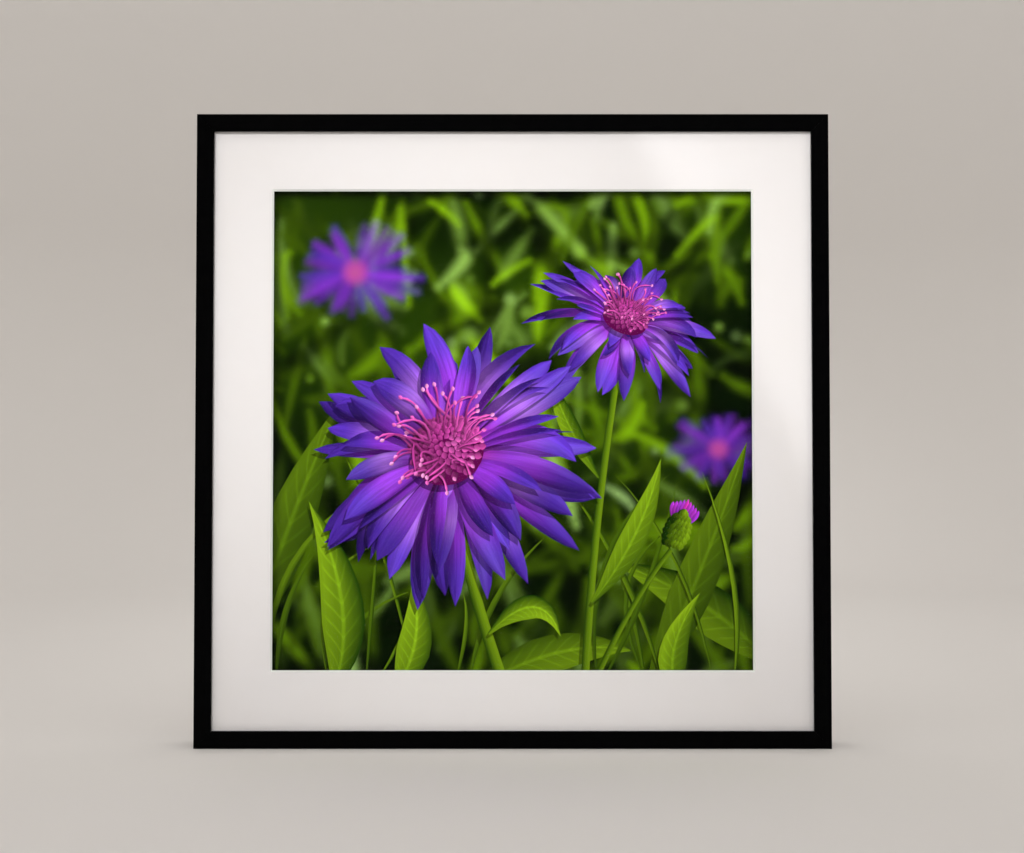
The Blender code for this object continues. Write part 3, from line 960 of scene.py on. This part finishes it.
def colour_blade(layer, points):
    """Return the inks of points on a blade, and their places along (0 to 1) and across (-1 to 1) it."""
    spine, (left, right), inks = layer["spine"], layer["edges"], layer["inks"]
    steps = len(spine) - 1
    best = np.full(len(points), np.inf)
    along = np.zeros(len(points))
    across = np.zeros(len(points))
    for i in range(steps):
        run = spine[i + 1] - spine[i]
        offset = points - spine[i]
        share = np.clip(offset @ run / max(run @ run, 1e-12), 0, 1)
        rest = offset - share[:, None] * run
        away = np.hypot(rest[:, 0], rest[:, 1])
        hand = run[0] * offset[:, 1] - run[1] * offset[:, 0]
        close = away < best
        edges = np.where((hand > 0)[:, None],
                         left[i] + share[:, None] * (left[i + 1] - left[i]),
                         right[i] + share[:, None] * (right[i + 1] - right[i]))
        middle = spine[i] + share[:, None] * run
        reach = np.maximum(np.hypot(*(edges - middle).T), 1e-5)
        best = np.where(close, away, best)
        along = np.where(close, (i + share) / steps, along)
        across = np.where(close, np.where(hand > 0, -1, 1) * np.minimum(away / reach, 1), across)
    at = along * steps
    low = np.minimum(at.astype(int), steps - 1)
    part = (at - low)[:, None]
    rows = inks[:, low] * (1 - part) + inks[:, low + 1] * part
    side = np.where((across < 0)[:, None], rows[0], rows[2])
    colours = rows[1] + (side - rows[1]) * np.abs(across)[:, None]
    return colours, along, across


def spilt_faces(picture, corners, triangles, found):
    """Return the outlines that cross themselves and so were filled beyond their own box."""
    a, b, c = (corners[triangles[:, i]] for i in range(3))
    sizes = np.abs(np.cross(b - a, c - a)) / 2
    filled = np.zeros(len(picture.faces))
    for ids, size in zip(found, sizes):
        for i in ids:
            filled[i] += size
    spilt = set()
    for i, ring in enumerate(picture.faces):
        outline = np.array([tuple(picture.points[j]) for j in ring])
        if filled[i] > np.prod(outline.max(0) - outline.min(0)) + 1e-6:
            spilt.add(i)
    return spilt


def cut_sheet(picture):
    """Cut the sheet along every outline. Return its corners, triangles and each one's layers, top first."""
    half, cells = SHEET_HALF, picture.backdrop.cells
    line = np.linspace(-half, half, cells)
    rows = np.linspace(-half, half, round(cells / (sqrt(3) / 2)))
    # Every other row is shifted, so that the triangles between the points are nearly regular
    shift = (line[1] - line[0]) / 2
    border = ((-half, -half), (half, -half), (half, half), (-half, half))
    grid = [(x + i % 2 * shift, y) for i, y in enumerate(rows) for x in line[:cells - i % 2]]
    points = picture.points + [Vector(point) for point in (*border, *grid)]
    ends = [len(picture.points) + i for i in range(4)]
    lines = picture.creases + list(zip(ends, ends[1:] + ends[:1]))
    corners, _, triangles, _, _, found = delaunay_2d_cdt(points, lines, picture.faces, 0, 1e-5, True)
    corners = np.array([tuple(point) for point in corners])
    triangles = np.array([tuple(ring) for ring in triangles])
    spilt = spilt_faces(picture, corners, triangles, found)
    kept = np.abs(corners[triangles].mean(1)).max(1) < half
    stacks = [sorted({picture.owners[i] for i in ids if i not in spilt}, reverse=True)
              for ids, inside in zip(found, kept) if inside]
    used, triangles = np.unique(triangles[kept], return_inverse=True)
    return corners[used], triangles.reshape(-1, 3), stacks


def print_face(picture):
    """Return the sheet's corners and triangles, and the inks, places and marks of each triangle."""
    corners, triangles, stacks = cut_sheet(picture)
    tops, shades = [], []
    # The topmost blade is what shows, darkened by the shadows that fall on it
    for stack in stacks:
        shade = 1.0
        top = -1
        for layer in stack:
            strength = picture.layers[layer].get("strength")
            if strength is None:
                top = layer
                break
            shade = max(shade * strength, 0.3)
        tops.append(top)
        shades.append(shade if top >= 0 else 1.0)
    tops, shades = np.array(tops), np.array(shades)
    inks = np.zeros((len(triangles), 3, 4))
    places = np.zeros((len(triangles), 3, 2))
    marks = np.zeros((len(triangles), 3, 4))
    for top in np.unique(tops):
        mine = np.nonzero(tops == top)[0]
        spots = corners[triangles[mine]].reshape(-1, 2)
        if top < 0:
            colours = picture.backdrop.sample(spots)
        else:
            layer = picture.layers[top]
            colours, along, across = colour_blade(layer, spots)
            places[mine] = np.stack([along, across], 1).reshape(-1, 3, 2)
            marks[mine, :, :3] = layer["marks"]
        inks[mine, :, :3] = colours.reshape(-1, 3, 3) * shades[mine][:, None, None]
    inks[..., 3] = marks[..., 3] = 1
    return corners, triangles, inks, places, marks


def print_mesh(name, picture, low, high):
    """Make the printed sheet: a front cut along the shapes, with sides and a back."""
    corners, triangles, inks, places, marks = print_face(picture)
    scale = (high.x - low.x) / 2 / SHEET_HALF
    mesh = bpy.data.meshes.new(name)
    middle = (low + high) / 2
    mesh.from_pydata([(middle.x + x * scale, low.y, middle.z + y * scale) for x, y in corners], [],
                     triangles.tolist())
    order = [corner for ring in mesh.polygons for corner in ring.vertices]
    if order != triangles.reshape(-1).tolist():
        raise RuntimeError("the print's corners aren't in the order of its triangles")
    mesh.attributes.new("ink", "FLOAT_COLOR", "CORNER").data.foreach_set("color", inks.reshape(-1))
    mesh.attributes.new("blade", "FLOAT_COLOR", "CORNER").data.foreach_set("color", marks.reshape(-1))
    mesh.uv_layers.new(name="blade_place").data.foreach_set("uv", places.reshape(-1))
    sheet = bpy.data.objects.new(name, mesh)
    bpy.context.collection.objects.link(sheet)
    return sheet


class MouldingSettings(bpy.types.PropertyGroup):
    """Shape and colour of the moulding."""
    face_width: FloatProperty(name="Face width", description="Front face, from outer edge to sight edge",
                              default=RAIL_HIGH.z - RAIL_LOW.z, unit="LENGTH")
    wall_width: FloatProperty(name="Wall width", description="Wood beside the rebate",
                              default=9 * MM, unit="LENGTH")
    lip_depth: FloatProperty(name="Lip depth", description="Thickness of the lip in front of the glazing",
                             default=3 * MM, unit="LENGTH")
    face_arris: FloatProperty(name="Front rounding", description="Rounding of the front edges",
                              default=0.8 * MM, unit="LENGTH")
    back_arris: FloatProperty(name="Back rounding", description="Rounding of the back edges",
                              default=0.4 * MM, unit="LENGTH")
    seam: FloatProperty(name="Seam", description="Half the width of a closed mitre's hairline",
                        default=0.02 * MM, unit="LENGTH")
    seam_edge: FloatProperty(name="Seam edge", description="Worn edge of each mitre",
                             default=0.08 * MM, unit="LENGTH")
    slot_gap: FloatProperty(name="Slot gap", description="Room round each V-nail in its slot",
                            default=0.2 * MM, unit="LENGTH")
    colour: FloatVectorProperty(name="Lacquer", description="Colour of the lacquer", subtype="COLOR",
                                default=(0.001, 0.001, 0.0012))


class SheetSettings(bpy.types.PropertyGroup):
    """Glazing, mat and boards."""
    glass_ior: FloatProperty(name="Glass IOR", description="Strength of the glazing's reflections",
                             default=1.06, min=1.0, max=1.6)
    edge: FloatProperty(name="Cut edge", description="Rounding of the mat's cut edges",
                        default=0.12 * MM, unit="LENGTH")
    mat: FloatVectorProperty(name="Mat", description="Colour of the mat's face", subtype="COLOR",
                             default=(0.875, 0.836, 0.86))
    core: FloatVectorProperty(name="Mat core", description="Colour of the bevel", subtype="COLOR",
                              default=(0.975, 0.972, 0.968))
    board: FloatVectorProperty(name="Board", description="Colour of the mount board", subtype="COLOR",
                               default=(0.80, 0.77, 0.70))
    tape: FloatVectorProperty(name="Tape", description="Colour of the hinge tapes", subtype="COLOR",
                              default=(0.80, 0.77, 0.70))
    paper: FloatVectorProperty(name="Paper", description="Colour of the back of the print", subtype="COLOR",
                               default=(0.85, 0.85, 0.83))
    backing: FloatVectorProperty(name="Backing", description="Colour of the hardboard", subtype="COLOR",
                                 default=(0.20, 0.105, 0.05))


class PrintSettings(bpy.types.PropertyGroup):
    """Colours and counts of the flower picture."""
    petals: IntProperty(name="Petals", description="Petals in the outer whorl", default=26, min=8, max=60)
    florets: IntProperty(name="Florets", description="Florets in a flower's disc",
                         default=110, min=10, max=400)
    styles: IntProperty(name="Styles", description="Pink styles round the disc", default=46, min=0, max=120)
    grass: IntProperty(name="Grass", description="Thin blades of grass in focus", default=16, min=0, max=60)
    cells: IntProperty(name="Backdrop cells", description="Cells across the blurred ground",
                       default=142, min=40, max=260)
    petal_tip: FloatVectorProperty(name="Petal tip", description="Colour at the ends of the petals",
                                   subtype="COLOR", default=(0.10, 0.030, 0.50))
    petal_middle: FloatVectorProperty(name="Petal", description="Colour of the petals",
                                      subtype="COLOR", default=(0.27, 0.035, 0.64))
    petal_root: FloatVectorProperty(name="Petal root", description="Colour beside the disc",
                                    subtype="COLOR", default=(0.62, 0.035, 0.50))
    style_pink: FloatVectorProperty(name="Styles", description="Colour of the styles",
                                    subtype="COLOR", default=(0.80, 0.11, 0.52))
    disc_deep: FloatVectorProperty(name="Disc", description="Deep colour of the disc",
                                   subtype="COLOR", default=(0.24, 0.006, 0.15))
    leaf_dark: FloatVectorProperty(name="Leaf shade", description="Colour of leaves in shade",
                                   subtype="COLOR", default=(0.007, 0.030, 0.001))
    leaf_glint: FloatVectorProperty(name="Leaf glint", description="Colour of leaves that mirror the sky",
                                    subtype="COLOR", default=(0.36, 0.52, 0.22))
    leaf_pale: FloatVectorProperty(name="Leaf light", description="Colour of leaves in the sun",
                                   subtype="COLOR", default=(0.27, 0.46, 0.010))


class FittingSettings(bpy.types.PropertyGroup):
    """Points, nails, hanger and bumpers."""
    steel_edge: FloatProperty(name="Steel edge", description="Rounding of stamped steel edges",
                              default=0.12 * MM, unit="LENGTH")
    pressing: FloatProperty(name="Pressing", description="Depth of the panel pressed into a point",
                            default=0.16 * MM, unit="LENGTH")
    panel_border: FloatProperty(name="Panel border", description="Width of the rim round that panel",
                                default=1.3 * MM, unit="LENGTH")
    steel: FloatVectorProperty(name="Steel", description="Colour of the zinc-plated steel", subtype="COLOR",
                               default=(0.58, 0.59, 0.60))
    felt: FloatVectorProperty(name="Felt", description="Colour of the bumpers", subtype="COLOR",
                              default=(0.035, 0.035, 0.037))
    fuzz: FloatProperty(name="Fuzz", description="How far the felt's surface wanders",
                        default=0.16 * MM, unit="LENGTH")
    lump: FloatProperty(name="Lump", description="Size of the felt's smallest lumps",
                        default=0.14 * MM, unit="LENGTH")


class StudioSettings(bpy.types.PropertyGroup):
    """Floor, lights and camera."""
    paint: FloatVectorProperty(name="Paint", description="Colour of the floor and its curved wall",
                               subtype="COLOR", default=(0.77, 0.745, 0.72))
    radius: FloatProperty(name="Radius", description="Radius of the floor", default=2.4, unit="LENGTH")
    height: FloatProperty(name="Height", description="Height of the curved wall",
                          default=3.2, unit="LENGTH")
    key: FloatProperty(name="Key light", description="Power of the soft main light, in watts",
                       default=240)
    streak: FloatProperty(name="Streak light", default=0.044,
                          description="Power of the light over the upper right, in watts")
    sky: FloatProperty(name="Sky", description="Strength of the even light from all round", default=1.2)


def straight_rail(name, sizes):
    """Model the bottom rail before its mitres, in edit mode: a wall, a lip and their roundings."""
    half = FRAME_SIZE / 2
    lip_back = FRONT + sizes.lip_depth
    rail = block(name, (-half, FRONT, 0), (half, BACK, sizes.wall_width))
    bpy.ops.mesh.select_all(action="SELECT")
    bpy.ops.mesh.bisect(plane_co=(0, lip_back, 0), plane_no=(0, 1, 0))
    choose("FACE", lambda face: face.normal.z > 0.9 and face.calc_center_median().y < lip_back)
    lip_rise = sizes.face_width - sizes.wall_width
    bpy.ops.mesh.extrude_region_move(TRANSFORM_OT_translate={"value": (0, 0, lip_rise)})
    choose("EDGE", lambda edge: runs_along(edge, 0) and near(edge.verts[0].co.y, FRONT))
    bpy.ops.mesh.bevel(offset=sizes.face_arris, segments=6, profile=0.5)
    choose("EDGE", lambda edge: runs_along(edge, 0) and (
        near(edge.verts[0].co.y, BACK)
        or near(edge.verts[0].co.y, lip_back) and near(edge.verts[0].co.z, sizes.face_width)))
    bpy.ops.mesh.bevel(offset=sizes.back_arris, segments=3, profile=0.5)
    return rail


def mitre(sizes):
    """Cut both ends of the rail in edit mode at 45 degrees, and wear the edges of the cuts."""
    reach = FRAME_SIZE / 2 - sizes.seam
    for hand in (-1, 1):
        bpy.ops.mesh.select_all(action="SELECT")
        bpy.ops.mesh.bisect(plane_co=(hand * reach, 0, 0), plane_no=(-hand, 0, -1),
                            use_fill=True, clear_inner=True)
        choose("EDGE", lambda edge: all(
            near(hand * corner.co.x + corner.co.z, reach) for corner in edge.verts))
        bpy.ops.mesh.bevel(offset=sizes.seam_edge, segments=2, profile=0.5)


class FRAMED_OT_moulding(bpy.types.Operator):
    """Model the four mitred rails of the moulding"""
    bl_idname = "framed.moulding"
    bl_label = "Moulding"

    def execute(self, context):
        """Shape the bottom rail, and turn its copies into place."""
        sizes = context.scene.framed_moulding
        rail = straight_rail("moulding_bottom", sizes)
        for side in SIDES:
            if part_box("v_nail_" + side)[1].z < MIDDLE.z:
                cut_slot(rail, "v_nail_" + side, sizes.slot_gap)
        edit()
        mitre(sizes)
        settle(rail)
        along = {0: lacquered_wood("black_lacquer_across", sizes.colour, "X"),
                 1: lacquered_wood("black_lacquer_upright", sizes.colour, "Z")}
        rails = [rail]
        for turns, side in enumerate(SIDES[1:], 1):
            copied = copy_of(rail, "moulding_" + side)
            quarter_turn(copied, turns)
            rails.append(copied)
        for turns, (piece, side) in enumerate(zip(rails, SIDES)):
            dress(piece, "black_lacquer", along[turns % 2])
            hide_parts("rail_" + side)
        return {"FINISHED"}


class FRAMED_OT_glazing(bpy.types.Operator):
    """Give the glazing its clear finish"""
    bl_idname = "framed.glazing"
    bl_label = "Glazing"

    def execute(self, context):
        """Finish the packed pane."""
        redress("glazing_sheet", clear_glass("picture_glass", context.scene.framed_sheets.glass_ior))
        return {"FINISHED"}


class FRAMED_OT_mat(bpy.types.Operator):
    """Model the mat with its bevelled window"""
    bl_idname = "framed.mat"
    bl_label = "Mat"

    def execute(self, context):
        """Cut the window into a sheet, wider at the front by the slope of the bevel."""
        sheets = context.scene.framed_sheets
        thickness = MAT_HIGH.y - MAT_LOW.y
        half = (MAT_HIGH.x - MAT_LOW.x) / 2
        rise = MIDDLE.z - (MAT_HIGH.z + MAT_LOW.z) / 2
        card = block("bevelled_mat", MAT_LOW, MAT_HIGH)
        for way, opening in ((-1, WINDOW_HALF + thickness), (1, WINDOW_HALF)):
            choose("FACE", lambda face: face.normal.y * way > 0.9)
            bpy.ops.mesh.inset(thickness=half - opening)
            bpy.ops.transform.translate(value=(0, 0, rise))
        choose("FACE", lambda face: abs(face.normal.y) > 0.9 and near(face.calc_center_median().x, 0)
               and near(face.calc_center_median().z, MIDDLE.z))
        bpy.ops.mesh.bridge_edge_loops()
        choose("EDGE", lambda edge: all(
            near(max(abs(corner.co.x), abs(corner.co.z - MIDDLE.z)), WINDOW_HALF + thickness)
            and near(corner.co.y, MAT_LOW.y) for corner in edge.verts))
        bpy.ops.mesh.bevel(offset=sheets.edge, segments=2)
        settle(card)
        dress(card, "mat_board", mat_card("cotton_mat", sheets.mat, sheets.core, MAT_LOW.y))
        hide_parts("window_mat")
        return {"FINISHED"}


class FRAMED_OT_print(bpy.types.Operator):
    """Make the printed sheet with its flower picture"""
    bl_idname = "framed.flower_print"
    bl_label = "Flower print"

    def execute(self, context):
        """Lay the picture, cut the sheet's front along it, and give the sheet its sides and back."""
        picture = compose(context.scene.framed_print)
        sheet = print_mesh("flower_print", picture, PRINT_LOW, PRINT_HIGH)
        pick(sheet)
        edit()
        bpy.ops.mesh.select_mode(type="EDGE")
        bpy.ops.mesh.select_non_manifold()
        bpy.ops.mesh.extrude_edges_move(
            TRANSFORM_OT_translate={"value": (0, PRINT_HIGH.y - PRINT_LOW.y, 0)})
        bpy.ops.mesh.edge_face_add()
        bpy.ops.mesh.select_all(action="SELECT")
        bpy.ops.mesh.normals_make_consistent(inside=False)
        deselect()
        paper = plain_paper("print_back", context.scene.framed_sheets.paper)
        dress(sheet, "print_paper", printed_paper("printed_photo_paper"), paper)
        for face in sheet.data.polygons:
            face.material_index = 0 if near(face.center.y, PRINT_LOW.y) else 1
        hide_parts("art_print")
        return {"FINISHED"}


class FRAMED_OT_boards(bpy.types.Operator):
    """Give the boards and tapes behind the print their finish"""
    bl_idname = "framed.boards"
    bl_label = "Boards and tapes"

    def execute(self, context):
        """Finish the packed boards and tapes."""
        sheets = context.scene.framed_sheets
        redress("mount_board", plain_paper("mount_card", sheets.board))
        redress("backing_board", hardboard("brown_hardboard", sheets.backing))
        tape = plain_paper("paper_tape", sheets.tape)
        for side in ("left", "right"):
            redress("hinge_tape_" + side, tape)
        return {"FINISHED"}


class FRAMED_OT_points(bpy.types.Operator):
    """Model the steel points that hold the backing board"""
    bl_idname = "framed.points"
    bl_label = "Points"

    def execute(self, context):
        """Press a panel into one point, round its edges, and copy it to each place."""
        sizes = context.scene.framed_fittings
        steel = zinc_steel("zinc_points", sizes.steel)
        first = "point_bottom_1"
        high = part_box(first)[1]
        model = packed_copy(first, "steel_" + first)
        choose("FACE", lambda face: face.normal.y > 0.9)
        bpy.ops.mesh.inset(thickness=sizes.panel_border)
        bpy.ops.transform.translate(value=(0, -sizes.pressing, 0))
        choose("EDGE", lambda edge: edge.calc_face_angle(0) > radians(60)
               and not all(near(corner.co.y, high.y - sizes.pressing) for corner in edge.verts))
        bpy.ops.mesh.bevel(offset=sizes.steel_edge, segments=2)
        settle(model)
        for turns, side in enumerate(SIDES):
            for number in ("1", "2", "3"):
                node = f"point_{side}_{number}"
                piece = model
                if node != first:
                    piece = copy_of(model, "steel_" + node)
                    quarter_turn(piece, turns)
                    low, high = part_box(node)
                    bpy.ops.transform.translate(value=(low + high) / 2 - middle_of(piece))
                    fix_place()
                dress(piece, "zinc_steel", steel)
                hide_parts(node)
        return {"FINISHED"}


class FRAMED_OT_hanger(bpy.types.Operator):
    """Model the hanger, its nails and the V-nails of the mitres"""
    bl_idname = "framed.hanger"
    bl_label = "Hanger and nails"

    def execute(self, context):
        """Round the stamped edges of each steel part."""
        sizes = context.scene.framed_fittings
        steel = zinc_steel("zinc_hanger", sizes.steel)
        edge_share = 0.6
        nodes = ["sawtooth_hanger", "hanger_nail_left", "hanger_nail_right"]
        nodes += ["v_nail_" + side for side in SIDES]
        for node in nodes:
            piece = packed_copy(node, "steel_" + node)
            choose("EDGE", lambda edge: edge.is_manifold and edge.calc_face_angle(0) > radians(40))
            bpy.ops.mesh.bevel(offset=sizes.steel_edge * edge_share, segments=2, clamp_overlap=True)
            settle(piece)
            dress(piece, "zinc_steel", steel)
            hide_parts(node)
        return {"FINISHED"}


class FRAMED_OT_bumpers(bpy.types.Operator):
    """Model the felt bumpers"""
    bl_idname = "framed.bumpers"
    bl_label = "Bumpers"

    def execute(self, context):
        """Divide each pad finely and let its surface wander like felt."""
        sizes = context.scene.framed_fittings
        cloth = felt("pressed_felt", sizes.felt)
        for side, seed in (("left", 4), ("right", 5)):
            pad = packed_copy("bumper_" + side, "felt_bumper_" + side)
            pick(pad)
            low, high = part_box("bumper_" + side)
            apply(pad, "REMESH", mode="VOXEL", voxel_size=sizes.lump)
            middle = (low + high) / 2
            chance = random.Random(seed)
            reach = (high - low).x / 2
            for corner in pad.data.vertices:
                inward = (middle - corner.co).normalized()
                corner.co += inward * sizes.fuzz * chance.random() * min(
                    1, (corner.co - middle).length / reach)
            apply(pad, "SMOOTH", factor=0.4, iterations=1)
            settle(pad, 180)
            dress(pad, "felt", cloth)
            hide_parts("bumper_" + side)
        return {"FINISHED"}


def add_light(name, kind, place, turn, **settings):
    """Add a light that nothing mirrors."""
    lamp = bpy.data.lights.new(name, kind)
    for key, value in settings.items():
        setattr(lamp, key, value)
    light = bpy.data.objects.new(name, lamp)
    bpy.context.collection.objects.link(light)
    light.location = place
    light.rotation_euler = turn
    light.visible_camera = light.visible_glossy = False


class FRAMED_OT_stage(bpy.types.Operator):
    """Set up the floor, the lights and the camera"""
    bl_idname = "framed.stage"
    bl_label = "Stage"

    def execute(self, context):
        """Make a round pale floor that curves up all round, and light the picture softly."""
        studio = context.scene.framed_studio
        deselect()
        bpy.ops.mesh.primitive_cylinder_add(vertices=96, radius=studio.radius, depth=studio.height,
                                            location=(0, 0, studio.height / 2))
        fix_place()
        bowl = context.object
        bowl.name = "studio_floor"
        edit()
        choose("FACE", lambda face: face.normal.z > 0.9)
        bpy.ops.mesh.delete(type="FACE")
        choose("EDGE", lambda edge: all(near(corner.co.z, 0) for corner in edge.verts))
        bpy.ops.mesh.bevel(offset=studio.radius / 3, segments=24, profile=0.5)
        bpy.ops.mesh.select_all(action="SELECT")
        bpy.ops.mesh.normals_make_consistent(inside=True)
        pick(bowl)
        bpy.ops.object.shade_smooth()
        bowl.data.materials.append(studio_paint("studio_paint", studio.paint))

        world = bpy.data.worlds.new("studio_sky")
        world.use_nodes = True
        sky = world.node_tree.nodes["Background"].inputs
        sky["Color"].default_value = SKY_COLOUR
        sky["Strength"].default_value = studio.sky
        context.scene.world = world
        key_turn = (Vector(KEY_AIM) - Vector(KEY_PLACE)).to_track_quat("-Z", "Y").to_euler()
        add_light("key_light", "SPOT", KEY_PLACE, key_turn, energy=studio.key,
                  shadow_soft_size=KEY_RADIUS, spot_size=radians(KEY_CONE), spot_blend=KEY_FADE)
        streak_turn = (pi / 2, -radians(STREAK_TURN), 0)
        add_light("streak_light", "AREA", STREAK_PLACE, streak_turn, energy=studio.streak,
                  shape="RECTANGLE", size=STREAK_WIDTH, size_y=STREAK_HEIGHT,
                  spread=radians(STREAK_SPREAD))

        camera = bpy.data.objects.new("camera", bpy.data.cameras.new("camera"))
        context.collection.objects.link(camera)
        camera.data.lens = CAMERA_LENS
        camera.location = CAMERA_PLACE
        camera.rotation_euler = (radians(90 + CAMERA_RISE), 0, 0)
        context.scene.camera = camera
        context.scene.view_settings.view_transform = "Standard"
        return {"FINISHED"}


SETTINGS = {
    "framed_moulding": MouldingSettings,
    "framed_sheets": SheetSettings,
    "framed_print": PrintSettings,
    "framed_fittings": FittingSettings,
    "framed_studio": StudioSettings,
}
OPERATORS = (FRAMED_OT_moulding, FRAMED_OT_glazing, FRAMED_OT_mat, FRAMED_OT_print, FRAMED_OT_boards,
             FRAMED_OT_points, FRAMED_OT_hanger, FRAMED_OT_bumpers, FRAMED_OT_stage)


class FRAMED_PT_panel(bpy.types.Panel):
    """Settings and steps of the framed print"""
    bl_idname = "FRAMED_PT_panel"
    bl_label = "Framed print"
    bl_space_type = "VIEW_3D"
    bl_region_type = "UI"
    bl_category = "Framed print"

    def draw(self, context):
        """List each group of settings, then the steps."""
        for key, group in SETTINGS.items():
            box = self.layout.box()
            box.label(text=group.__doc__.strip("."))
            for name in group.__annotations__:
                box.prop(getattr(context.scene, key), name)
        for operator in OPERATORS:
            self.layout.operator(operator.bl_idname)


def register():
    """Register the settings, operators and panel."""
    for group in SETTINGS.values():
        bpy.utils.register_class(group)
    for key, group in SETTINGS.items():
        setattr(bpy.types.Scene, key, PointerProperty(type=group))
    for operator in OPERATORS:
        bpy.utils.register_class(operator)
    bpy.utils.register_class(FRAMED_PT_panel)


def unregister():
    """Remove what register added."""
    bpy.utils.unregister_class(FRAMED_PT_panel)
    for operator in reversed(OPERATORS):
        bpy.utils.unregister_class(operator)
    for key, group in SETTINGS.items():
        delattr(bpy.types.Scene, key)
        bpy.utils.unregister_class(group)


def main():
    """Build every piece and the stage."""
    register()
    for operator in OPERATORS:
        family, step = operator.bl_idname.split(".")
        getattr(getattr(bpy.ops, family), step)()


if __name__ == "__main__":
    main()
